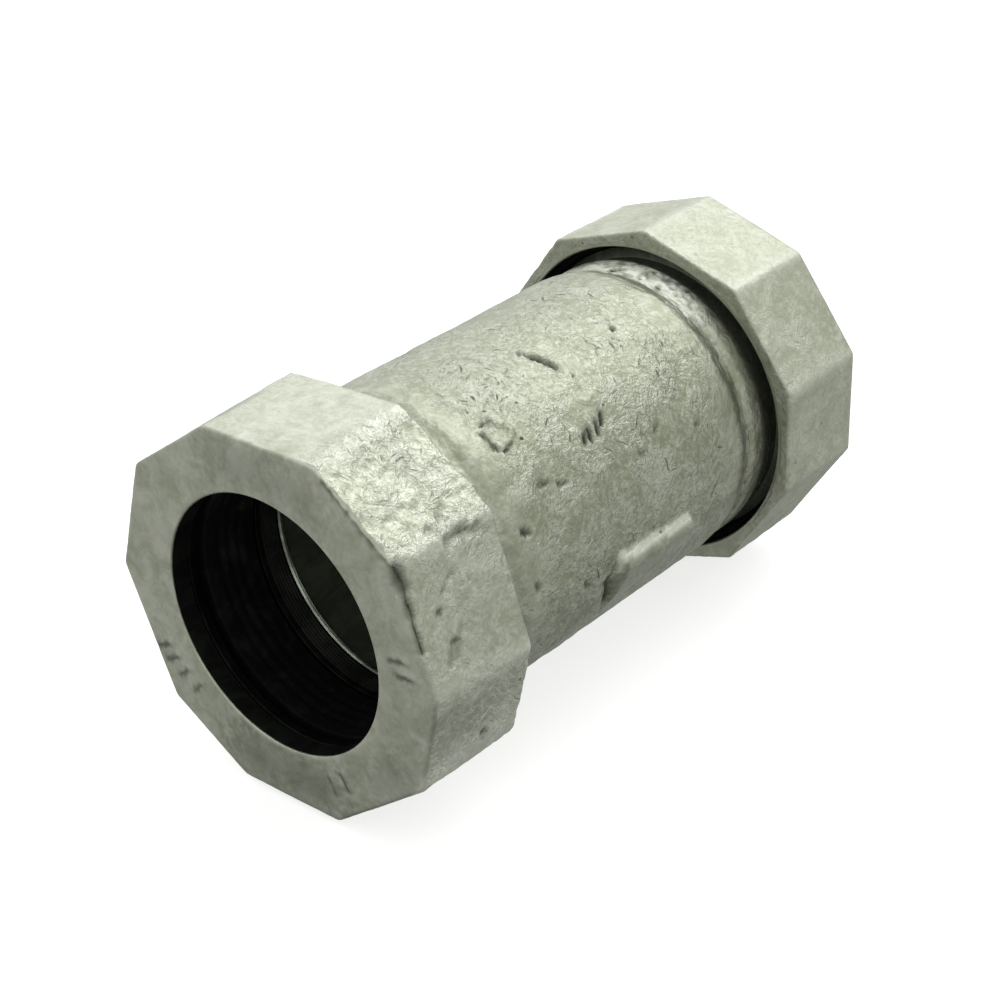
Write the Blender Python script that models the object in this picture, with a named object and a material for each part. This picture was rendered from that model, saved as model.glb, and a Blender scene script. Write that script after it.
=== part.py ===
"""Compression coupling that joins two lengths of rigid conduit without threading them.

A cast body, open from end to end, carries a right-hand male thread on each end. A ten-sided gland nut
runs on each thread and pushes a steel retaining washer against a rubber gasket and a split grip ring,
which close on the conduit. The body lies along X with its centre at the origin. Run with Blender 4.5.
"""

import math

import bmesh
import bpy
from mathutils import Matrix, Vector

MM = 0.001  # every size below is in millimetres
SEGMENTS = 40  # facets of each round surface
SMOOTH_ANGLE = math.radians(30)
WELD = 2e-6  # metres; points closer than this are one point

# Whole coupling
HALF_LENGTH = 44.3  # centre to the outer face of a nut
HOLE_R = 17.05  # clears conduit of 33.4 mm outside diameter
INNER_R = 17.35  # bore of the loose rings behind the lip
REST_GAP = 0.3  # left between pieces that rest on each other

# Gland nuts; sand castings of one pattern, so their outsides differ by a few tenths
NUT_LENGTH = {"near": 16.6, "far": 15.9}
NUT_CORNER_R = {"near": 26.1, "far": 25.4}
NUT_TURN = {"near": 0.0, "far": 17.0}  # degrees that each nut has turned from lying on a flat
NUT_SIDES = 10
NUT_EDGE = 0.8  # casting radius on the end edges
LIP = 3.1
CAVITY_R = 20.6
CAVITY_END = 5.6
MOUTH_R = 22.3
MOUTH_START = 13.6

# Screw thread, 11.5 turns to the inch
PITCH = 25.4 / 11.5
FLANK = math.tan(math.radians(30))
MALE_CREST_R = 21.2
MALE_ROOT_R = 19.95
MALE_CREST_WIDTH = 0.36
FEMALE_CREST_R = 20.35
FEMALE_ROOT_R = 21.55
FLANK_PLAY = 0.25
ROOT_SINK = 0.25  # how far a ridge is sunk below the surface that it grows from
MALE_FIRST = 9.6  # middle of the ridge where it starts
MALE_TURNS = 2.1
FEMALE_FIRST = MALE_FIRST - 2 * PITCH
FEMALE_TURNS = 4.2

# Cast body
BODY_END = 8.35  # from the outer face of a nut at rest
BODY_R = 21.1
BODY_BORE_R = 17.9
BEAD_R = 20.75
BEAD_START = 15.6
GROOVE_R = 20.45
BARREL_START = 22.7
MOUTH_SEAT_R = 18.8
INNER_SEAT_R = 18.5
SEAT_END = 19.6
STOP_R = 15.2
STOP_HALF_WIDTH = 1.3
STOP_CHAMFER = 0.7

# Casting lug on the side of the body
LUG_ANGLE = -168.0  # degrees from +Y towards +Z
LUG_START = -4.5
LUG_LENGTH = 15.8
LUG_WIDTH = 6.2
LUG_DEPTH = 2.6
LUG_PROUD = 0.7
LUG_EDGE = 0.6

# Loose pieces inside each nut, from the outer face inwards
WASHER_START = LIP + REST_GAP
WASHER_THICKNESS = 1.2
WASHER_R = 20.2
TAKE_UP = PITCH / 2  # slack that half a turn of the nut takes up
GASKET_START = WASHER_START + WASHER_THICKNESS + TAKE_UP + REST_GAP
GASKET_FLANGE_R = 20.0
GASKET_NECK_R = 18.4
GASKET_TIP_R = 18.25
GASKET_END = 14.5
RING_START = GASKET_END + REST_GAP
RING_END = SEAT_END - REST_GAP
RING_MOUTH_R = 18.2
RING_TIP_R = 18.1
RING_SLOT = 2.4

COLOURS = {
    "galvanised_casting": ((0.56, 0.57, 0.52), 0.85, 0.42),
    "galvanised_nut": ((0.53, 0.54, 0.48), 0.85, 0.38),
    "plated_steel": ((0.44, 0.45, 0.42), 0.95, 0.32),
    "black_rubber": ((0.012, 0.012, 0.011), 0.0, 0.62),
}


def clear_scene():
    for obj in list(bpy.data.objects):
        bpy.data.objects.remove(obj, do_unlink=True)


def finish_material(name):
    """The Principled material of that finish, made once."""
    found = bpy.data.materials.get(name)
    if found:
        return found
    colour, metallic, roughness = COLOURS[name]
    made = bpy.data.materials.new(name)
    made.use_nodes = True
    shader = made.node_tree.nodes["Principled BSDF"]
    shader.inputs["Base Color"].default_value = (*colour, 1.0)
    shader.inputs["Metallic"].default_value = metallic
    shader.inputs["Roughness"].default_value = roughness
    return made


def object_from(mesh_edit, name):
    """An object of this name made from a bmesh, with its faces turned outwards."""
    bmesh.ops.remove_doubles(mesh_edit, verts=mesh_edit.verts, dist=WELD)
    bmesh.ops.recalc_face_normals(mesh_edit, faces=mesh_edit.faces)
    mesh = bpy.data.meshes.new(name)
    mesh_edit.to_mesh(mesh)
    mesh_edit.free()
    obj = bpy.data.objects.new(name, mesh)
    bpy.context.scene.collection.objects.link(obj)
    return obj


def turned(outline, name, segments=SEGMENTS):
    """A solid of revolution about X from a closed outline of (x, radius) points in millimetres."""
    edit = bmesh.new()
    corners = [edit.verts.new((x * MM, 0.0, radius * MM)) for x, radius in outline]
    for first, second in zip(corners, corners[1:] + corners[:1]):
        edit.edges.new((first, second))
    bmesh.ops.spin(
        edit,
        geom=edit.verts[:] + edit.edges[:],
        cent=(0, 0, 0),
        axis=(1, 0, 0),
        angle=2 * math.pi,
        steps=segments,
        use_merge=True,
    )
    return object_from(edit, name)


def thread_ridge(first, turns, inner_r, crest_r, crest_width, name):
    """A right-hand helical ridge about X, wide at inner_r and narrow at crest_r."""
    base_width = crest_width + 2 * (crest_r - inner_r) * FLANK
    steps = round(turns * SEGMENTS)
    edit = bmesh.new()
    # It starts half a facet round, so that its corners stay off the corners of what it meets.
    half_facet = Matrix.Rotation(math.pi / SEGMENTS, 3, "X")
    corners = [
        edit.verts.new(half_facet @ Vector((x, radius, 0)) * MM)
        for x, radius in (
            (first - base_width / 2, inner_r),
            (first - crest_width / 2, crest_r),
            (first + crest_width / 2, crest_r),
            (first + base_width / 2, inner_r),
        )
    ]
    section = edit.faces.new(corners)
    bmesh.ops.spin(
        edit,
        geom=[section, *section.edges, *section.verts],
        cent=(0, 0, 0),
        axis=(1, 0, 0),
        dvec=(PITCH * MM / SEGMENTS, 0, 0),
        angle=2 * math.pi * steps / SEGMENTS,
        steps=steps,
        use_duplicate=False,
    )
    return object_from(edit, name)


def combine(target, tool, operation):
    """Joins the tool to the target, or cuts it away, and removes the tool."""
    boolean = target.modifiers.new(operation.lower(), "BOOLEAN")
    boolean.operation = operation
    boolean.solver = "EXACT"
    boolean.object = tool
    graph = bpy.context.evaluated_depsgraph_get()
    result = bpy.data.meshes.new_from_object(target.evaluated_get(graph))
    edit = bmesh.new()
    edit.from_mesh(result)
    bmesh.ops.remove_doubles(edit, verts=edit.verts, dist=WELD)
    bmesh.ops.dissolve_degenerate(edit, edges=edit.edges, dist=WELD)
    edit.to_mesh(result)
    edit.free()
    target.modifiers.clear()
    target.data = result
    bpy.data.objects.remove(tool, do_unlink=True)


def place(obj, end, finish):
    """Puts a piece at its end of the body; its own x = 0 is the outer face of the nut at rest."""
    obj.location = ((-1 if end == "near" else 1) * HALF_LENGTH * MM, 0, 0)
    obj.rotation_euler = (0, 0, 0 if end == "near" else math.pi)
    dress(obj, finish)


def dress(obj, finish):
    obj.data.materials.clear()
    obj.data.materials.append(finish_material(finish))
    obj.data.shade_smooth()
    obj.data.set_sharp_from_angle(angle=SMOOTH_ANGLE)


def turn_mesh(obj, degrees):
    obj.data.transform(Matrix.Rotation(math.radians(degrees), 4, "X"))


def male_thread(end):
    """One end's thread ridge, already in its place on the body."""
    inner_r = MALE_ROOT_R - ROOT_SINK
    ridge = thread_ridge(
        MALE_FIRST, MALE_TURNS, inner_r, MALE_CREST_R, MALE_CREST_WIDTH, "thread"
    )
    ridge.data.transform(Matrix.Translation((-HALF_LENGTH * MM, 0, 0)))
    if end == "far":
        ridge.data.transform(Matrix.Rotation(math.pi, 4, "Z"))
    return ridge


def casting_lug():
    """The rounded pad that the mould's parting feature leaves along the body."""
    edit = bmesh.new()
    bmesh.ops.create_cube(edit, size=1.0)
    bmesh.ops.scale(edit, verts=edit.verts, vec=Vector((LUG_LENGTH, LUG_DEPTH, LUG_WIDTH)) * MM)
    bmesh.ops.bevel(
        edit,
        geom=edit.edges[:],
        offset=LUG_EDGE * MM,
        segments=1,
        profile=0.5,
        affect="EDGES",
        material=-1,
    )
    middle = BODY_R + LUG_PROUD - LUG_DEPTH / 2
    shift = Vector((LUG_START + LUG_LENGTH / 2, middle, 0)) * MM
    bmesh.ops.translate(edit, verts=edit.verts, vec=shift)
    lug = object_from(edit, "lug")
    turn_mesh(lug, LUG_ANGLE)
    return lug


def body_outline():
    """The body's section, outside then inside, mirrored about its middle."""
    outside = [
        (BODY_END, MALE_ROOT_R - 0.5),
        (BODY_END + 0.5, MALE_ROOT_R),
        (BEAD_START, MALE_ROOT_R),
        (BEAD_START + 0.5, BEAD_R - 0.35),
        (BEAD_START + 1.3, BEAD_R),
        (BEAD_START + 3.4, BEAD_R),
        (BEAD_START + 4.3, GROOVE_R),
        (BEAD_START + 5.2, GROOVE_R + 0.15),
        (BARREL_START, BODY_R),
    ]
    inside = [
        (HALF_LENGTH - STOP_HALF_WIDTH, STOP_R),
        (HALF_LENGTH - STOP_HALF_WIDTH - STOP_CHAMFER, BODY_BORE_R),
        (SEAT_END, BODY_BORE_R),
        (SEAT_END, INNER_SEAT_R),
        (BODY_END, MOUTH_SEAT_R),
    ]
    near_outside = [(x - HALF_LENGTH, radius) for x, radius in outside]
    near_inside = [(x - HALF_LENGTH, radius) for x, radius in inside]
    far_outside = [(-x, radius) for x, radius in reversed(near_outside)]
    far_inside = [(-x, radius) for x, radius in reversed(near_inside)]
    return near_outside + far_outside + far_inside + near_inside


def coupling_body():
    body = turned(body_outline(), "coupling_body")
    combine(body, casting_lug(), "UNION")
    for end in ("near", "far"):
        combine(body, male_thread(end), "UNION")
    dress(body, "galvanised_casting")


def nut_blank(end):
    """The ten-sided casting before it is bored."""
    edit = bmesh.new()
    bmesh.ops.create_cone(
        edit,
        cap_ends=True,
        segments=NUT_SIDES,
        radius1=NUT_CORNER_R[end] * MM,
        radius2=NUT_CORNER_R[end] * MM,
        depth=NUT_LENGTH[end] * MM,
    )
    ends = [edge for edge in edit.edges if abs(edge.verts[0].co.z - edge.verts[1].co.z) < 1e-6]
    bmesh.ops.bevel(
        edit,
        geom=ends,
        offset=NUT_EDGE * MM,
        segments=2,
        profile=0.5,
        affect="EDGES",
        material=-1,
    )
    # The cone stands on Z with a corner at +Y: laid along X, it has a flat at the bottom.
    bmesh.ops.transform(edit, matrix=Matrix.Rotation(math.radians(90), 4, "Y"), verts=edit.verts)
    bmesh.ops.translate(edit, verts=edit.verts, vec=(NUT_LENGTH[end] * MM / 2, 0, 0))
    blank = object_from(edit, f"{end}_nut")
    turn_mesh(blank, NUT_TURN[end])
    return blank


def gland_nut(end):
    nut = nut_blank(end)
    bore = [
        (-1.0, 0.0),
        (-1.0, HOLE_R),
        (LIP, HOLE_R),
        (LIP, CAVITY_R),
        (CAVITY_END, CAVITY_R),
        (CAVITY_END + 0.2, FEMALE_CREST_R),
        (MOUTH_START - 1.2, FEMALE_CREST_R),
        (MOUTH_START, MOUTH_R),
        (NUT_LENGTH[end] + 1.0, MOUTH_R),
        (NUT_LENGTH[end] + 1.0, 0.0),
    ]
    combine(nut, turned(bore, "bore"), "DIFFERENCE")
    crest_width = MALE_CREST_WIDTH + 2 * FLANK_PLAY - 2 * (FEMALE_ROOT_R - MALE_CREST_R) * FLANK
    groove = thread_ridge(
        FEMALE_FIRST,
        FEMALE_TURNS,
        FEMALE_CREST_R - ROOT_SINK,
        FEMALE_ROOT_R,
        crest_width,
        "groove",
    )
    combine(nut, groove, "DIFFERENCE")
    place(nut, end, "galvanised_nut")


def retaining_washer(end):
    edge = 0.25
    stop = WASHER_START + WASHER_THICKNESS
    outline = [
        (WASHER_START + edge, INNER_R),
        (WASHER_START, INNER_R + edge),
        (WASHER_START, WASHER_R),
        (stop, WASHER_R),
        (stop, INNER_R),
    ]
    place(turned(outline, f"{end}_retaining_washer"), end, "plated_steel")


def gasket(end):
    """A top-hat rubber sleeve: its flange is nipped by the washer, its neck sits in the body's mouth."""
    flange_end = BODY_END - REST_GAP
    outline = [
        (GASKET_START, INNER_R),
        (GASKET_START, GASKET_FLANGE_R),
        (flange_end, GASKET_FLANGE_R),
        (flange_end, GASKET_NECK_R),
        (GASKET_END, GASKET_TIP_R),
        (GASKET_END, INNER_R),
    ]
    place(turned(outline, f"{end}_gasket"), end, "black_rubber")


def grip_ring(end):
    """A thin steel ring with a slot, so that the body's tapered mouth can close it on the conduit."""
    outline = [
        (RING_START, INNER_R),
        (RING_START, RING_MOUTH_R),
        (RING_END, RING_TIP_R),
        (RING_END, INNER_R),
    ]
    ring = turned(outline, f"{end}_grip_ring")
    edit = bmesh.new()
    bmesh.ops.create_cube(edit, size=1.0)
    slot_size = Vector((2 * (RING_END - RING_START), RING_SLOT, 4 * (RING_TIP_R - INNER_R))) * MM
    bmesh.ops.scale(edit, verts=edit.verts, vec=slot_size)
    middle = Vector(((RING_START + RING_END) / 2, 0, (INNER_R + RING_MOUTH_R) / 2)) * MM
    bmesh.ops.translate(edit, verts=edit.verts, vec=middle)
    combine(ring, object_from(edit, "slot"), "DIFFERENCE")
    place(ring, end, "plated_steel")


def main():
    clear_scene()
    coupling_body()
    for end in ("near", "far"):
        gland_nut(end)
        retaining_washer(end)
        gasket(end)
        grip_ring(end)


if __name__ == "__main__":
    main()
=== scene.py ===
"""Looks of a cast compression coupling: galvanised body and gland nuts, with their packing rings.

Sizes are in millimetres about the conduit axis, X, until a piece is finished. An end's own x runs inwards
from the outer face of its nut, so that both ends share every outline.
"""

from __future__ import annotations

import logging
import math
from dataclasses import dataclass, field
from enum import Enum
from typing import Any, Callable

import bmesh
import bpy
import numpy as np
from mathutils import Matrix, Vector, noise


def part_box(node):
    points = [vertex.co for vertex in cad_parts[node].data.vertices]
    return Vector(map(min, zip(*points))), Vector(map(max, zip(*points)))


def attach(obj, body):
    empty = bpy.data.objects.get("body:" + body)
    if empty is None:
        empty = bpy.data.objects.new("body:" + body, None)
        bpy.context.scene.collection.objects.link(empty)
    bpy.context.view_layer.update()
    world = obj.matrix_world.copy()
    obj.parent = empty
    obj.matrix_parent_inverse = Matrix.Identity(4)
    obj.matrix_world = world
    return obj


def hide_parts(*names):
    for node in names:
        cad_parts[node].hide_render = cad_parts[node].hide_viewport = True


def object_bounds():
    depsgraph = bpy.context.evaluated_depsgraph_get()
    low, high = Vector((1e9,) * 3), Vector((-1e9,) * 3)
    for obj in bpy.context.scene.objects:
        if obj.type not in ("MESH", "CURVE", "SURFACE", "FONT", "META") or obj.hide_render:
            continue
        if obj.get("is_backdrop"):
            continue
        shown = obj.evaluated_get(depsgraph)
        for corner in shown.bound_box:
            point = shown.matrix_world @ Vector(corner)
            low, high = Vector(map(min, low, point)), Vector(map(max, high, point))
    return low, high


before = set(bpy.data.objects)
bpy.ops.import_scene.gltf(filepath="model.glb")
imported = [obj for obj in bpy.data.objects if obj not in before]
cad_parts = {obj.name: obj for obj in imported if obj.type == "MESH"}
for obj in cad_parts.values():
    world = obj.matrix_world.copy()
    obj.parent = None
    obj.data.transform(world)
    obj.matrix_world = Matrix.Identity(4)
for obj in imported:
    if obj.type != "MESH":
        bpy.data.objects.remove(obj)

LOG = logging.getLogger("coupling")
MM = 0.001
FULL_TURN = 2 * math.pi
PITCH = 25.4 / 11.5  # 11.5 turns of thread to the inch
HALF_LENGTH = max(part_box(node)[1].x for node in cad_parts) / MM


class Side(Enum):
    """The two ends of the coupling."""

    NEAR = "near"
    FAR = "far"

    def placing(self) -> Matrix:
        """Return the matrix from an end's own millimetres to the coupling's."""
        if self is Side.NEAR:
            return Matrix.Translation((-HALF_LENGTH, 0, 0))
        return Matrix.Translation((HALF_LENGTH, 0, 0)) @ Matrix.Rotation(math.pi, 4, "Z")


@dataclass(frozen=True)
class Envelope:
    """The room that a CAD node takes, in its end's own millimetres."""

    start: float
    stop: float
    inner: float
    outer: float

    @classmethod
    def of(cls, node: str) -> Envelope:
        """Measure a node.

        Args:
            node: Name of the CAD node.

        Returns:
            Its start and stop along X from the nearest outer face, and its least and greatest radius.
        """
        points = np.array([vert.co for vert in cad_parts[node].data.vertices]) / MM
        along = HALF_LENGTH - np.abs(points[:, 0])
        radii = np.hypot(points[:, 1], points[:, 2])
        return cls(float(along.min()), float(along.max()), float(radii.min()), float(radii.max()))


# ---------------------------------------------------------------- shader maths


class Wire:
    """A value that varies over a surface, which Python expressions turn into Math nodes."""

    def __init__(self, graph: Graph, socket: bpy.types.NodeSocket) -> None:
        """Wrap an output socket of a graph's node."""
        self.graph = graph
        self.socket = socket

    def __add__(self, other: Wire | float) -> Wire:
        """Return this plus the other."""
        return self.graph.maths("ADD", self, other)

    def __mul__(self, other: Wire | float) -> Wire:
        """Return this times the other."""
        return self.graph.maths("MULTIPLY", self, other)

    def __sub__(self, other: Wire | float) -> Wire:
        """Return this less the other."""
        return self.graph.maths("SUBTRACT", self, other)

    def __rsub__(self, other: Wire | float) -> Wire:
        """Return the other less this."""
        return self.graph.maths("SUBTRACT", other, self)

    def __pow__(self, other: float) -> Wire:
        """Return this raised to a power."""
        return self.graph.maths("POWER", self, other)

    __radd__ = __add__
    __rmul__ = __mul__

    def __truediv__(self, other: Wire | float) -> Wire:
        """Return this divided by the other."""
        return self.graph.maths("DIVIDE", self, other)

    def __abs__(self) -> Wire:
        """Return its size without its sign."""
        return self.graph.maths("ABSOLUTE", self)

    def between(self, low: float, high: float) -> Wire:
        """Return 0 below low and 1 above high, with a smooth step between them."""
        settings = {"interpolation_type": "SMOOTHSTEP"}
        return self.graph.node(
            "ShaderNodeMapRange", settings, {"Value": self, "From Min": low, "From Max": high}
        )


class Graph:
    """The nodes of one material or world."""

    def __init__(self, owner: bpy.types.Material | bpy.types.World) -> None:
        """Turn on the owner's nodes.

        Args:
            owner: The material or world.
        """
        owner.use_nodes = True
        self.owner = owner
        self.tree = owner.node_tree
        shaders = ("Principled BSDF", "Background")
        self.shader = next(node for node in self.tree.nodes if node.name in shaders)

    @classmethod
    def of_material(cls, name: str) -> Graph:
        """Start a new material of that name."""
        return cls(bpy.data.materials.new(name))

    def node(
        self,
        kind: str,
        settings: dict[str, Any] | None = None,
        inputs: dict[str, Any] | None = None,
        output: str | int = 0,
    ) -> Wire:
        """Add any node.

        Args:
            kind: Type of the node.
            settings: Its properties, set before its sockets.
            inputs: Values or wires, by socket name or identifier.
            output: Name or number of the output to return.

        Returns:
            The output as a wire.
        """
        made = self.tree.nodes.new(kind)
        for name, value in (settings or {}).items():
            setattr(made, name, value)
        for name, value in (inputs or {}).items():
            self.feed(next(s for s in made.inputs if name in (s.identifier, s.name)), value)
        if isinstance(output, str):
            return Wire(self, next(s for s in made.outputs if output in (s.identifier, s.name)))
        return Wire(self, made.outputs[output])

    def feed(self, socket: bpy.types.NodeSocket, value: Any) -> None:
        """Link a wire to a socket, or set its value."""
        if isinstance(value, Wire):
            self.tree.links.new(value.socket, socket)
        else:
            socket.default_value = value

    def maths(self, operation: str, *values: Wire | float) -> Wire:
        """Add a Math node.

        Args:
            operation: Its operation.
            values: Its inputs in order.

        Returns:
            Its result.
        """
        made = self.tree.nodes.new("ShaderNodeMath")
        made.operation = operation
        for socket, value in zip(made.inputs, values):
            self.feed(socket, value)
        return Wire(self, made.outputs[0])

    def millimetres(self, scale: tuple[float, float, float] = (1, 1, 1), turn: float = 0.0) -> Wire:
        """Return object coordinates in millimetres, stretched by scale and turned about an oblique axis."""
        place = self.node("ShaderNodeTexCoord", output="Object")
        sizes = [factor / MM for factor in scale]
        return self.node(
            "ShaderNodeMapping", {}, {"Vector": place, "Scale": sizes, "Rotation": (turn, 0.6 * turn, turn)}
        )

    def vectors(self, operation: str, first: Any, second: Any = (0, 0, 0), output: str = "Vector") -> Wire:
        """Add a Vector Math node.

        Args:
            operation: Its operation.
            first: Its first input.
            second: Its second input.
            output: Vector or Value.

        Returns:
            Its result.
        """
        made = self.tree.nodes.new("ShaderNodeVectorMath")
        made.operation = operation
        self.feed(made.inputs[0], first)
        self.feed(made.inputs[1], second)
        return Wire(self, made.outputs[output])

    def strokes(self, place: Wire, size: float, width: float, bend: float = 0.35) -> tuple[Wire, Wire]:
        """Scatter short straight strokes in all directions, one in each cell of the space.

        Args:
            place: Coordinates in millimetres.
            size: Size of a cell.
            width: Width of a stroke, as a share of its cell.
            bend: How far the strokes wander, as a share of a cell.

        Returns:
            The strokes, 1 on their middle lines, and a number that is random for each cell.
        """
        wander = self.node("ShaderNodeTexNoise", {}, {"Vector": place, "Scale": 1 / size, "Detail": 1.0}, "Color")
        wander = self.vectors("SUBTRACT", wander, (0.5, 0.5, 0.5))
        wander = self.vectors("MULTIPLY", wander, (bend * 4,) * 3)
        cells = self.vectors("MULTIPLY", place, (1 / size,) * 3)
        cells = self.vectors("ADD", cells, wander)
        cell = self.tree.nodes.new("ShaderNodeTexVoronoi")
        cell.inputs["Scale"].default_value = 1.0
        self.feed(cell.inputs["Vector"], cells)
        middle, lot = Wire(self, cell.outputs["Position"]), Wire(self, cell.outputs["Color"])
        reach = self.vectors("SUBTRACT", cells, middle)
        across = self.vectors("NORMALIZE", self.vectors("SUBTRACT", lot, (0.5, 0.5, 0.5)))
        off_line = abs(self.vectors("DOT_PRODUCT", reach, across, "Value"))
        off_middle = self.vectors("LENGTH", reach, output="Value")
        drawn = (1 - off_line.between(0, width)) * (1 - off_middle.between(0.28, 0.62))
        chance = self.node("ShaderNodeSeparateColor", {}, {"Color": lot}, "Red")
        return drawn, chance

    def hatch(self, place: Wire, size: float, pitch: float, stretch: float = 0.86) -> Wire:
        """Fill the space with cells, each hatched in a direction of its own.

        Args:
            place: Coordinates in millimetres.
            size: Size of a cell.
            pitch: Distance between two lines of the hatching.
            stretch: How much longer than wide the lines are, from 0 to 1.

        Returns:
            Values about one half.
        """
        wander = self.node("ShaderNodeTexNoise", {}, {"Vector": place, "Scale": 1.6 / size, "Detail": 2.0}, "Color")
        bent = self.vectors("ADD", place, self.vectors("MULTIPLY", wander, (size,) * 3))
        lot = self.node(
            "ShaderNodeTexVoronoi", {}, {"Vector": bent, "Scale": 1 / size, "Randomness": 1.0}, "Color"
        )
        along = self.vectors("NORMALIZE", self.vectors("SUBTRACT", lot, (0.5, 0.5, 0.5)))
        reach = self.vectors("DOT_PRODUCT", place, along, "Value") * stretch
        run = self.vectors("MULTIPLY", along, self.node("ShaderNodeCombineXYZ", {}, {"X": reach, "Y": reach, "Z": reach}))
        drawn = self.vectors("ADD", self.vectors("SUBTRACT", place, run), self.vectors("MULTIPLY", lot, (9.0, 9.0, 9.0)))
        return self.noise(drawn, pitch, 2.0, 0.6, 0.3)

    def noise(self, place: Wire, size: float, detail: float = 3.0, rough: float = 0.55, bend: float = 0.0) -> Wire:
        """Add a noise texture.

        Args:
            place: Coordinates in millimetres.
            size: Size of its largest features.
            detail: Number of finer layers.
            rough: Strength of the finer layers.
            bend: How far the pattern bends itself.

        Returns:
            Values about one half.
        """
        values = {"Vector": place, "Scale": 1 / size, "Detail": detail, "Roughness": rough, "Distortion": bend}
        return self.node("ShaderNodeTexNoise", {}, values)

    def blend(self, factor: Wire, first: Any, second: Any) -> Wire:
        """Mix two colours by a factor."""
        values = {"Factor_Float": factor, "A_Color": first, "B_Color": second}
        return self.node("ShaderNodeMix", {"data_type": "RGBA"}, values, "Result_Color")

    def bump(self, height: Wire, depth: float, under: Wire | None = None) -> Wire:
        """Return normals bent by a height of 0 to 1 that stands for a depth in millimetres."""
        values: dict[str, Any] = {"Height": height, "Distance": depth * MM}
        if under is not None:
            values["Normal"] = under
        return self.node("ShaderNodeBump", {}, values)

    def set(self, **sockets: Any) -> None:
        """Set the shader's sockets; an underscore stands for a space."""
        for name, value in sockets.items():
            self.feed(self.shader.inputs[name.replace("_", " ")], value)


Colour = tuple[float, float, float, float]


@dataclass(frozen=True)
class GalvanisedCasting:
    """Cast iron dipped in zinc: satin patches, hatched crystals, short cuts, pits and worn rims, with painted
    highlights and painted shade read from the mesh.
    """

    name: str
    plain: Colour = (0.383, 0.393, 0.324, 1.0)
    dull: Colour = (0.225, 0.24, 0.172, 1.0)
    bright: Colour = (0.58, 0.59, 0.53, 1.0)
    # Colour of painted shade in hollows, dents and pits, and of grime.
    shade_and_grime: Colour = (0.022, 0.026, 0.016, 1.0)
    roughness: float = 0.30
    stroke_depth: float = 0.10
    hatch_depth: float = 0.085
    worm_depth: float = 0.17
    shade_and_soil: float = 1.0

    def material(self) -> bpy.types.Material:
        """Build the material."""
        graph = Graph.of_material(self.name)
        place = graph.millimetres()
        # Painted highlight and wear brighten the surface; painted shade and dirt darken it.
        wear_and_highlight = graph.node("ShaderNodeAttribute", {"attribute_name": "wear_and_highlight"}, output="Fac")
        shade_and_dirt = graph.node("ShaderNodeAttribute", {"attribute_name": "shade_and_dirt"}, output="Fac")

        calm = graph.node("ShaderNodeAttribute", {"attribute_name": "calm"}, output="Fac")

        patches = graph.noise(place, 7.5, 3.0, 0.6, 0.6)
        cloud = graph.noise(place, 3.6, 4.0, 0.62, 0.8)
        busy = (patches * 0.6 + cloud * 0.4).between(0.42, 0.58) * (1 - calm)
        worms = graph.noise(place, 1.5, 4.0, 0.62, 1.5)
        grain = graph.noise(place, 0.25, 2.0, 0.7)
        coarse = graph.hatch(place, 2.6, 0.55)
        close = graph.hatch(graph.millimetres(turn=1.1), 1.4, 0.32)
        hatching = (coarse * 0.6 + close * 0.4).between(0.30, 0.70)
        long, long_lot = graph.strokes(place, 2.2, 0.09, 0.12)
        short, short_lot = graph.strokes(graph.millimetres(turn=2.3), 1.2, 0.13, 0.12)
        scored = graph.maths("MAXIMUM", long * long_lot.between(0.35, 0.50), short * short_lot.between(0.35, 0.50))
        black = long * long_lot.between(0.86, 0.90) + short * short_lot.between(0.88, 0.92)
        black = graph.maths("MINIMUM", black * busy * self.shade_and_soil, 1.0)
        pit = self.pits(graph, place) * (1 - calm)

        lines = (hatching - 0.5) * (1 - calm) + 0.5
        tone = (patches * 0.25 + cloud * 0.35 + lines * 0.2 + worms * 0.2).between(0.38, 0.62)
        colour = graph.blend(tone, self.dull, self.plain)
        # Towards the bright colour as wear and painted highlight.
        colour = graph.blend(graph.maths("MINIMUM", wear_and_highlight * 0.85, 1.0), colour, self.bright)
        # Towards the dark colour as painted shade in dents, creases and pits, with dirt, black cuts and scored lines.
        shaded_and_soiled = graph.maths("MAXIMUM", shade_and_dirt, graph.maths("MAXIMUM", pit * 0.9, black * 0.75))
        colour = graph.blend(graph.maths("MAXIMUM", shaded_and_soiled, scored * busy * 0.26), colour, self.shade_and_grime)

        uneven = busy * 0.7 + 0.42 - calm * 0.32
        normal = graph.bump(worms * uneven, self.worm_depth)
        normal = graph.bump(hatching * uneven, self.hatch_depth, normal)
        normal = graph.bump(0 - scored * busy * 0.7 - black * 0.6 - pit, self.stroke_depth, normal)
        normal = graph.bump(grain, 0.010, normal)
        rough = self.roughness + patches * 0.12 + grain * 0.08 + shade_and_dirt * 0.3
        metal = graph.maths("MAXIMUM", 0.92 - wear_and_highlight * 0.5, 0.2)
        graph.set(Base_Color=colour, Metallic=metal, Roughness=rough, Normal=normal)
        return graph.owner

    def pits(self, graph: Graph, place: Wire) -> Wire:
        """Return 1 in small scattered pits and 0 elsewhere."""
        spots = graph.node(
            "ShaderNodeTexVoronoi", {"feature": "F1"}, {"Vector": place, "Scale": 0.30, "Randomness": 1.0}
        )
        here = graph.noise(place, 5.0, 1.0).between(0.52, 0.62)
        return (1 - spots.between(0.04, 0.10)) * here


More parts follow.
